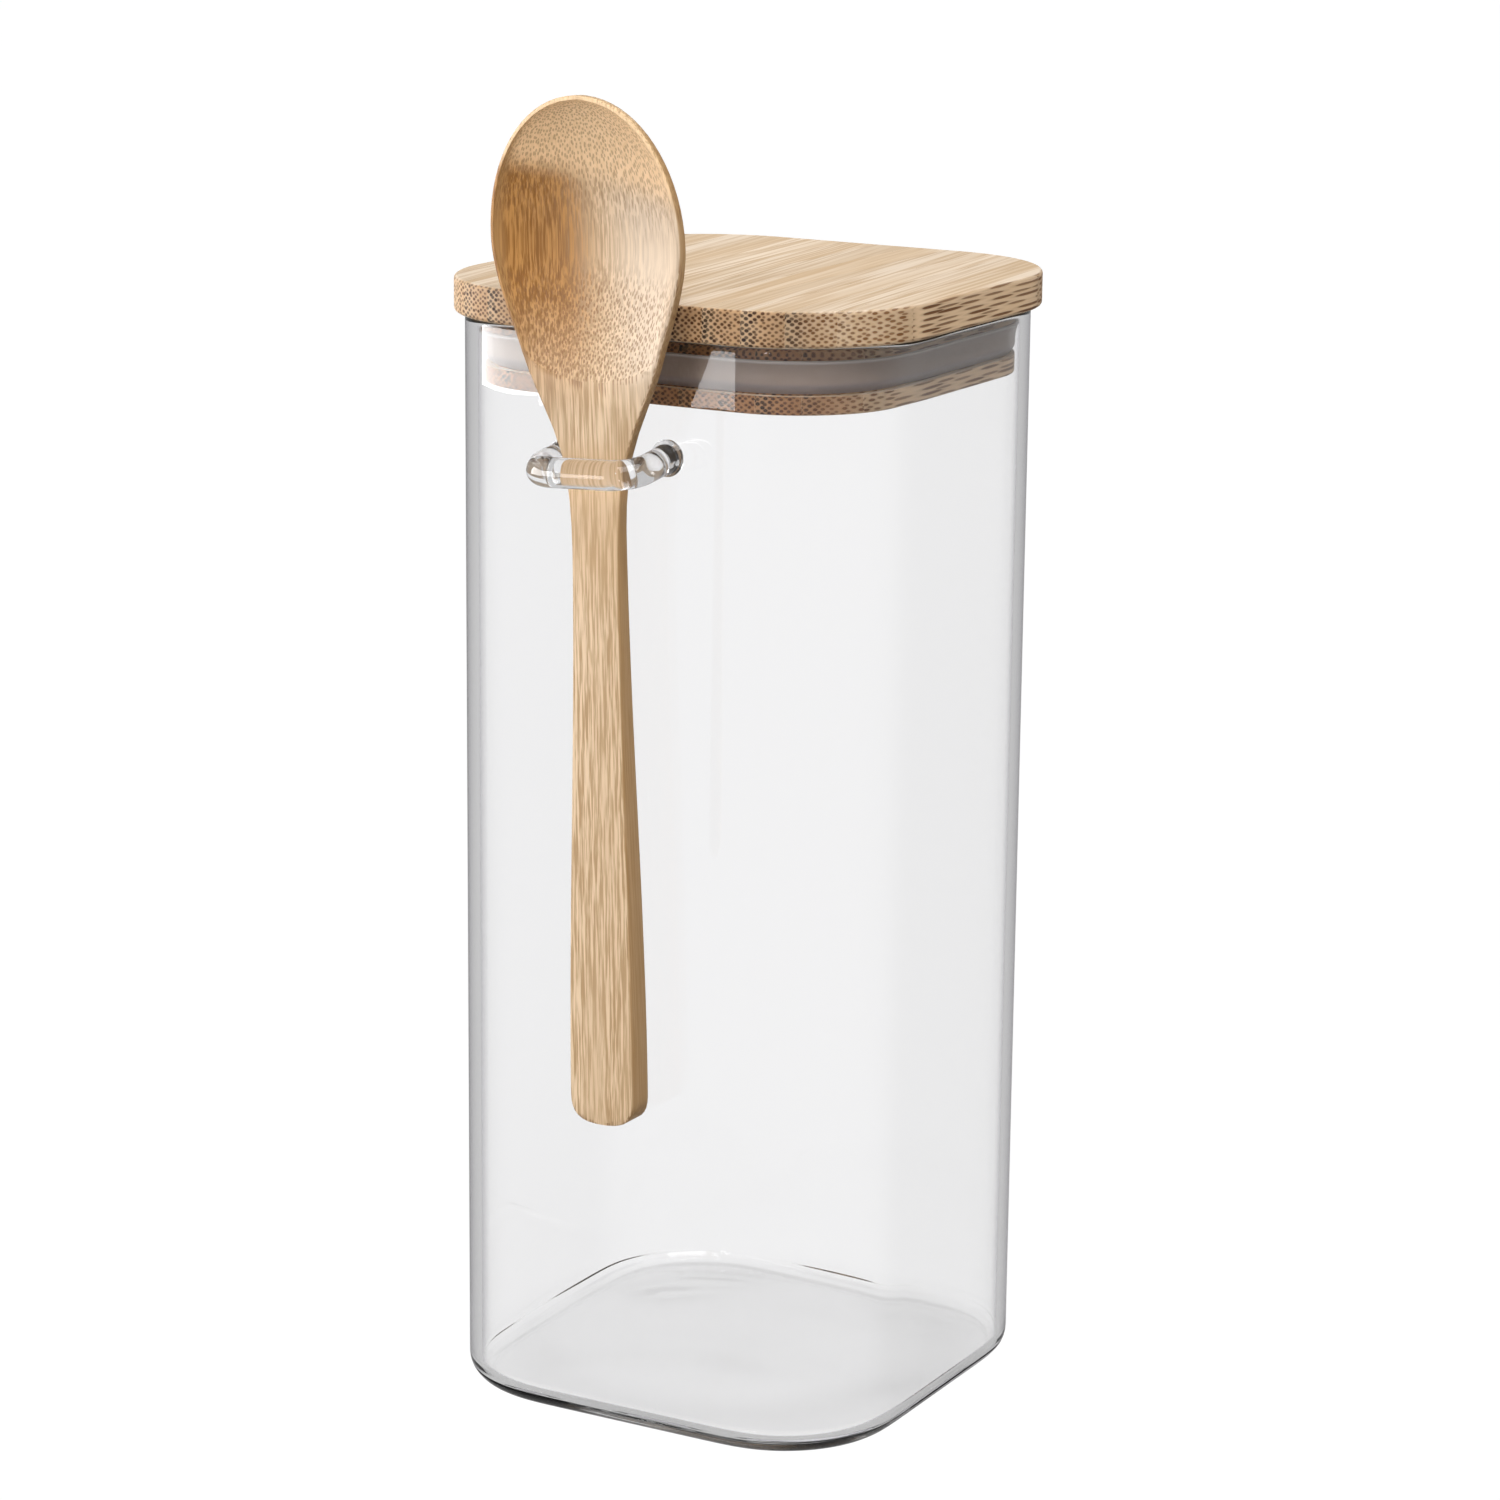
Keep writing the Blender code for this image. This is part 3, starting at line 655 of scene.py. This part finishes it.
# Painted sheen on the right of the bowl, and painted light on its tip.
BOWL_PAINTED_SHEEN, TIP_PAINTED_LIGHT = (0.74, 0.60, 0.46), (0.98, 0.68, 0.39)
# Painted shade under the loop, and a right side browner partly from its dense bamboo, partly from
# painted shade.
WAIST_PAINTED_SHADE, SIDE_BROWN_AND_SHADE, FIBRE_END = (0.58, 0.36, 0.17), (0.42, 0.24, 0.095), (0.25, 0.11, 0.035)
SPOON_RELIEF = 0.00005


def through(stations, place):
    """A smooth curve read through stations of (place, value)."""
    if place <= stations[0][0]:
        return stations[0][1]
    for index in range(len(stations) - 1):
        (a, low), (b, high) = stations[index], stations[index + 1]
        if place <= b:
            before, after = stations[max(index - 1, 0)], stations[min(index + 2, len(stations) - 1)]
            slope_a = (high - before[1]) / (b - before[0]) if index > 0 else 0
            slope_b = (after[1] - low) / (after[0] - a) if index < len(stations) - 2 else 0
            t, span = (place - a) / (b - a), b - a
            return (low * (2 * t**3 - 3 * t**2 + 1) + slope_a * span * (t**3 - 2 * t**2 + t)
                    + high * (3 * t**2 - 2 * t**3) + slope_b * span * (t**3 - t**2))
    return stations[-1][1]


def fall_off(share, power):
    return max(1 - abs(share) ** power, 0) ** (1 / power)


def spoon_width(z):
    half = through(HALF_WIDTHS, z)
    if z > BOWL_RISE:
        half *= fall_off((z - BOWL_RISE) / BOWL_TIP, TIP_POWER)
    below = HANDLE_START - z
    if below > 0:
        half *= fall_off(below / HANDLE_END_ROUND, END_POWER)
    return half


def spoon_edge(z):
    return through(EDGES, z)


def spoon_belly(z):
    if z <= 0:
        return spoon_edge(z)
    if z <= BOWL_RISE:
        return through(BELLIES, z)
    fall = fall_off((z - BOWL_RISE) / BOWL_TIP, TIP_POWER)
    return TIP_THICKNESS + (BOWL_THICKNESS - TIP_THICKNESS) * fall


def hollow(z):
    """Half width and depth of the hollow."""
    top = BOWL_TIP - HOLLOW_RIM
    deepest = BOWL_THICKNESS - BOWL_FLOOR
    if z <= HOLLOW_START or z >= BOWL_RISE + top:
        return 0, 0
    if z > BOWL_RISE:
        fall = fall_off((z - BOWL_RISE) / top, TIP_POWER)
        return (BOWL_WIDTH / 2 - HOLLOW_RIM) * fall, deepest * fall
    half = spoon_width(z) - HOLLOW_RIM
    below = HOLLOW_START + HOLLOW_START_ROUND - z
    if below > 0:
        half *= fall_off(below / HOLLOW_START_ROUND, START_POWER)
    rise = (z - HOLLOW_START) / (BOWL_RISE - HOLLOW_START)
    return half, deepest * sin(pi / 2 * rise) ** DEPTH_POWER


def spoon_section(z):
    """One slice: front face with the hollow, round edges, and the belly behind."""
    half = max(spoon_width(z), SMALLEST_HALF)
    edge = spoon_edge(z)
    belly = max(spoon_belly(z), edge)
    front = -FORWARD_LEAN * (max(z, 0) / (BOWL_RISE + BOWL_TIP)) ** LEAN_POWER
    corner = min(EDGE_ROUND, edge / CORNER_LIMIT)
    wide, depth = hollow(z)
    wide = min(max(wide, half / FACE_LIMIT), half - corner - SMALLEST_LAND)
    depth = min(depth, max(belly - BOWL_FLOOR, 0))
    face, back = [], []
    for step in range(FACE_STEPS + 1):
        share = sin(pi / 2 * (step * 2 / FACE_STEPS - 1))
        face.append((wide * share, front + depth * (1 - share**2) ** HOLLOW_POWER))
        place = -share * (half - corner)
        back.append((place, front + edge + (belly - edge) * (1 - share**2) ** BELLY_POWER))
    middle, low, high = half - corner, front + corner, front + edge - corner
    right_round, right_back, left_back, left_round = [], [], [], []
    for step in range(ROUND_EDGE_STEPS + 1):
        angle = pi / 2 * step / ROUND_EDGE_STEPS
        reach, rest = corner * sin(angle), corner * cos(angle)
        right_round.append((middle + reach, low - rest))
        right_back.append((middle + rest, high + reach))
        left_back.append((-middle - reach, high + rest))
        left_round.append((-middle - rest, low - reach))
    return face + right_round + right_back[:-1] + back + left_back[1:] + left_round


def carved_spoon():
    """Extrude a ring of points up the spoon, and set each ring to its own slice."""
    heights = []
    for step in range(END_SLICES):
        angle = pi / 2 * (FIRST_SLICE + (1 - FIRST_SLICE) * step / END_SLICES)
        heights.append(-HANDLE_DROP + HANDLE_END_ROUND * (1 - cos(angle)))
    for step in range(HANDLE_SLICES + 1):
        heights.append(HANDLE_START + (HOLLOW_START - HANDLE_START) * step / HANDLE_SLICES)
    for step in range(1, BOWL_SLICES + 1):
        rise = (step / BOWL_SLICES) ** BOWL_CROWDING
        heights.append(HOLLOW_START + (BOWL_RISE - HOLLOW_START) * rise)
    for step in range(1, TIP_SLICES + 1):
        heights.append(BOWL_RISE + BOWL_TIP * sin(pi / 2 * LAST_SLICE * step / TIP_SLICES))
    bm = bmesh.new()
    count = len(spoon_section(0))
    ring = bmesh.ops.create_circle(bm, cap_ends=True, segments=count, radius=HANDLE_END_ROUND)
    edges = bm.edges[:]
    points = ring["verts"]
    for index, z in enumerate(heights):
        if index:
            grown = bmesh.ops.extrude_edge_only(bm, edges=edges)["geom"]
            edges = [item for item in grown if isinstance(item, bmesh.types.BMEdge)]
            fresh = [item for item in grown if isinstance(item, bmesh.types.BMVert)]
            partner = {}
            for edge in bm.edges[:]:
                one, other = edge.verts
                if one in points and other in fresh:
                    partner[one] = other
                elif other in points and one in fresh:
                    partner[other] = one
            points = [partner[point] for point in points]
        for point, (across, depth) in zip(points, spoon_section(z)):
            point.co = (across, depth, z)
    bmesh.ops.edgeloop_fill(bm, edges=edges)
    bmesh.ops.recalc_face_normals(bm, faces=bm.faces[:])
    lean = Matrix.Rotation(-SPOON_LEAN, 3, "Y")
    bmesh.ops.rotate(bm, verts=bm.verts[:], cent=(0, 0, 0), matrix=lean)
    bmesh.ops.translate(bm, verts=bm.verts[:], vec=(SPOON_X, SPOON_Y, LOOP_HEIGHT))
    return bm


def spoon_bamboo():
    """Carved bamboo: fibres run along it, and show as dots where the carving cuts across them.

    Painted shade, sheen and light lie on the bowl, the handle and the right side.
    """
    finish = Finish("spoon_bamboo")
    x, y, z = finish.split(finish.place())
    nx, ny, nz = finish.split(finish.place("Normal"))
    bend = finish.join(x * 0.4, y * 0.4, z)
    sway = finish.node("TexNoise", Vector=bend, Scale=50.0, Detail=1.0) - 0.5
    u = x + z * 0.018 + sway * 0.0002
    v = y + z * 0.03 + sway * 0.0001
    bundle_a, bundle_b = u * (MILLIMETRES / FIBRES_ACROSS), v * (MILLIMETRES / FIBRES_DEEP)
    lattice = finish.join(bundle_a + bundle_b, bundle_a - bundle_b)
    far, shade = bundles(finish, lattice, FIBRE_DISORDER)
    dot = 1.0 - finish.ease(far / (0.25 + shade * 0.14), *FIBRE_DOT_EDGE)
    fine_place = finish.join(u, v, z * 0.02)
    streak = finish.node("TexNoise", Vector=fine_place, Scale=FINE_SCALE, Detail=3.0, Roughness=0.6)
    wide_place = finish.join(u, v, z * 0.04)
    broad = finish.node("TexNoise", Vector=wide_place, Scale=WIDE_SCALE, Detail=2.0)
    base = finish.blend(finish.ease(streak, *FINE_BAND), SPOON_PALE, SPOON_STREAK)
    base = finish.blend(finish.ease(broad, *WIDE_BAND) * 0.5, base, SPOON_BAND)
    front = 1.0 - finish.ease(ny, *FRONT_FACING)
    bowl = finish.ease(z, *BOWL_BAND) * front
    shift = x + (z - 0.21) * 0.10 + (streak - 0.5) * 0.012
    height = z + x * 0.15
    # Painted shade: the left of the bowl's hollow, turned from the left lamps, is a deep golden
    # brown.
    golden_shade = (1.0 - finish.ease(shift, *GOLDEN_ACROSS)) * bowl
    golden_shade = golden_shade * (1.0 - finish.ease(height, *GOLDEN_TOP) * 0.6)
    golden_shade = golden_shade * (finish.ease(z, *GOLDEN_FOOT) * 0.35 + 0.55)
    shaded_fibre = finish.blend(finish.ease(streak, *GOLDEN_FIBRE), SHADED_GOLDEN_PALE, SHADED_GOLDEN_DEEP)
    base = finish.blend(golden_shade, base, shaded_fibre)
    # Painted sheen: the right of the bowl's hollow is paler where it faces the light from the left.
    painted_sheen = finish.ease(shift, *SHEEN_ACROSS) * bowl * (1.0 - finish.ease(z, *SHEEN_TOP))
    base = finish.blend(painted_sheen * 0.6, base, BOWL_PAINTED_SHEEN)
    # Painted light: the tip of the bowl's front is brighter.
    tip_light = finish.ease(height, *TIP_BAND) * front
    base = finish.blend(tip_light * 0.7, base, TIP_PAINTED_LIGHT)
    # Painted shade: the handle is darker just under the loop and the bowl.
    waist_shade = finish.ease(z, *HANDLE_TOP) * (1.0 - finish.ease(z, *NECK_BAND))
    base = finish.blend(waist_shade * 0.40, base, WAIST_PAINTED_SHADE)
    # The right side is browner: partly the dense bamboo there, partly painted shade on the side
    # turned from the lamps.
    side = finish.ease(nx, *SIDE_TURN)
    base = finish.blend(side * 0.8, base, SIDE_BROWN_AND_SHADE)
    cut = finish.ease(nz.maths("ABSOLUTE"), *CUT_FACING)
    strength = cut * (0.60 - finish.ease(z, *STIPPLE_FADE) * 0.22) + 0.06
    colour = finish.blend(dot * strength, base, FIBRE_END)
    finish.set(Base_Color=colour, Roughness=0.5, Specular_IOR_Level=0.3)
    finish.bump((1.0 - dot * cut) * 0.7 + streak * 0.35, SPOON_RELIEF)
    return finish.material


finish_piece("spoon_bamboo", carved_spoon(), spoon_bamboo(), "spoon", ["spoon"],
             smooth_angle=50)


# Studio. A white table and dim surroundings, two curved lit screens low on the left that only the
# glass mirrors, two lamps in front, one at the left and a soft box overhead. The table stays white
# to the camera and through glass; close under the jar it turns a little grey, from the jar's real
# shadow and from a painted shadow and a darker painted ring that show through the glass.
TABLE_WHITE = 1.1
TABLE_MIRROR = 0.35
INNER_MIRROR = 0.62
WORLD_FILL = 0.30
TABLE_COLOUR = (0.55, 0.55, 0.55)
# Painted shadow under the jar and a darker painted ring, for rays through the glass.
UNDER_START, UNDER_END, UNDER_PAINTED_SHADOW = 0.030, 0.062, 0.09
RING_X, RING_Y, RING_PAINTED_SHADE = -0.006, 0.006, 0.10
RING_START, RING_END = 0.028, 0.042
SELF_GLOW, FAR_GLOW, FAR_BAND = 0.86, 0.04, (0.2, 1.0)
HORIZON_BAND, OVERHEAD_DIM = (0.10, 0.60), 0.75
TABLE_SIZE = 12
TABLE_DROP = 0.0005


def white_rays(finish):
    """Rays that see the white surroundings, and whether they were mirrored on their way."""
    camera_ray = finish.path("Is Camera Ray")
    straight = (1.0 - finish.path("Diffuse Depth").maths("MINIMUM", 1.0)) * (1.0 - camera_ray)
    mirrored = finish.path("Glossy Depth").maths("MINIMUM", 1.0)
    through_glass = finish.path("Is Transmission Ray") * straight
    off_gloss = finish.path("Is Glossy Ray") * straight * (1.0 - through_glass)
    return camera_ray, through_glass, off_gloss, mirrored


def table_finish():
    finish = Finish("white_table")
    x, y, _ = finish.split(finish.place())
    camera_ray, through_glass, off_gloss, mirrored = white_rays(finish)
    finish.set(Base_Color=TABLE_COLOUR, Roughness=0.9, Specular_IOR_Level=0.0)
    away = (x * x + y * y) ** 0.5
    # Painted shadow under the jar and a darker painted ring round it, seen through the glass.
    painted_shade_under = 1.0 - finish.ease(away, UNDER_START, UNDER_END)
    right, back = x - RING_X, y - RING_Y
    off_centre = (right * right + back * back) ** 0.5
    ring = finish.ease(off_centre, RING_START, RING_END) * painted_shade_under
    dimmed = TABLE_WHITE - painted_shade_under * UNDER_PAINTED_SHADOW - ring * RING_PAINTED_SHADE
    dimmed = dimmed - mirrored * (TABLE_WHITE - INNER_MIRROR)
    strength = camera_ray * TABLE_WHITE + through_glass * dimmed + off_gloss * TABLE_MIRROR
    glow = finish.node("Emission", Color=(1, 1, 1, 1), Strength=strength)
    seen = camera_ray.maths("MAXIMUM", off_gloss).maths("MAXIMUM", through_glass)
    finish.layer(seen * (finish.ease(away, *FAR_BAND) * FAR_GLOW + SELF_GLOW), glow)
    return finish.material


def stage_piece(name, bm, material):
    mesh = bpy.data.meshes.new(name)
    bm.to_mesh(mesh)
    bm.free()
    mesh.materials.append(material)
    piece = bpy.data.objects.new(name, mesh)
    bpy.context.collection.objects.link(piece)
    piece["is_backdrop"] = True
    return piece


table = bmesh.new()
bmesh.ops.create_grid(table, x_segments=1, y_segments=1, size=TABLE_SIZE)
bmesh.ops.translate(table, verts=table.verts[:], vec=(0, 0, -TABLE_DROP))
stage_piece("table", table, table_finish())

SCREEN_DISTANCE = 0.62
SCREEN_STEPS = 12


def curved_screen(name, start, end, low, top, radiance):
    """A curved lit screen round the jar's left, from one azimuth to another."""
    screen = bmesh.new()
    place = Vector((sin(start), -cos(start), 0)) * SCREEN_DISTANCE
    corners = [screen.verts.new((place.x, place.y, height)) for height in (low, top)]
    edge = screen.edges.new(corners)
    bmesh.ops.spin(screen, geom=[edge], cent=(0, 0, 0), axis=(0, 0, 1), angle=end - start,
                   steps=SCREEN_STEPS)
    finish = Finish(name)
    finish.set(Base_Color=(0, 0, 0), Specular_IOR_Level=0.0)
    finish.set(Emission_Color=(1, 1, 1), Emission_Strength=radiance)
    piece = stage_piece(name, screen, finish.material)
    piece.visible_camera = piece.visible_transmission = False
    piece.visible_diffuse = piece.visible_shadow = False


curved_screen("left_screen", radians(-33), radians(-84), 0.098, 0.40, 10.0)
curved_screen("veil_card", radians(-17), radians(-33), 0.095, 0.30, 6.5)

room = Finish("studio", world=True)
bpy.context.scene.world = room.material
camera_ray, through_glass, _, mirrored = white_rays(room)
height = room.split(room.place("Generated"))[2]
seen = 1.0 - room.ease(height, *HORIZON_BAND) * OVERHEAD_DIM
seen = seen * (1.0 - mirrored) + mirrored * INNER_MIRROR
other = through_glass * seen + (1.0 - through_glass) * WORLD_FILL
room.set(Color=(1, 1, 1), Strength=camera_ray + (1.0 - camera_ray) * other)


JAR_MIDDLE = Vector((0, 0, 0.12))
LOW_LAMP = radians(15)
AREA_LAMP_FACTOR = 4


def lamp(name, azimuth, elevation, distance, width, height, radiance):
    """A soft box of a given brightness. Azimuth 0 is in front of the jar, minus is to the left.

    Reflections don't show the low lamps, because the screens stand there."""
    data = bpy.data.lights.new(name, "AREA")
    data.shape = "RECTANGLE"
    data.size, data.size_y = width, height
    data.energy = radiance * AREA_LAMP_FACTOR * width * height
    item = bpy.data.objects.new(name, data)
    bpy.context.collection.objects.link(item)
    item.visible_glossy = item.visible_transmission = elevation > LOW_LAMP
    away = Vector((sin(azimuth) * cos(elevation), -cos(azimuth) * cos(elevation), sin(elevation)))
    turn = away.to_track_quat("Z", "Y").to_matrix().to_4x4()
    item.matrix_world = Matrix.Translation(JAR_MIDDLE + away * distance) @ turn


lamp("left_box", radians(-75), radians(10), 1.0, 0.6, 0.4, 5.0)
lamp("front_fill", radians(-8), radians(-1), 1.2, 0.4, 0.2, 5.5)
lamp("front_key", radians(4), radians(32), 1.5, 0.14, 0.14, 27)
lamp("top_box", radians(45), radians(60), 1.2, 0.9, 0.9, 3.8)

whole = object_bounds()
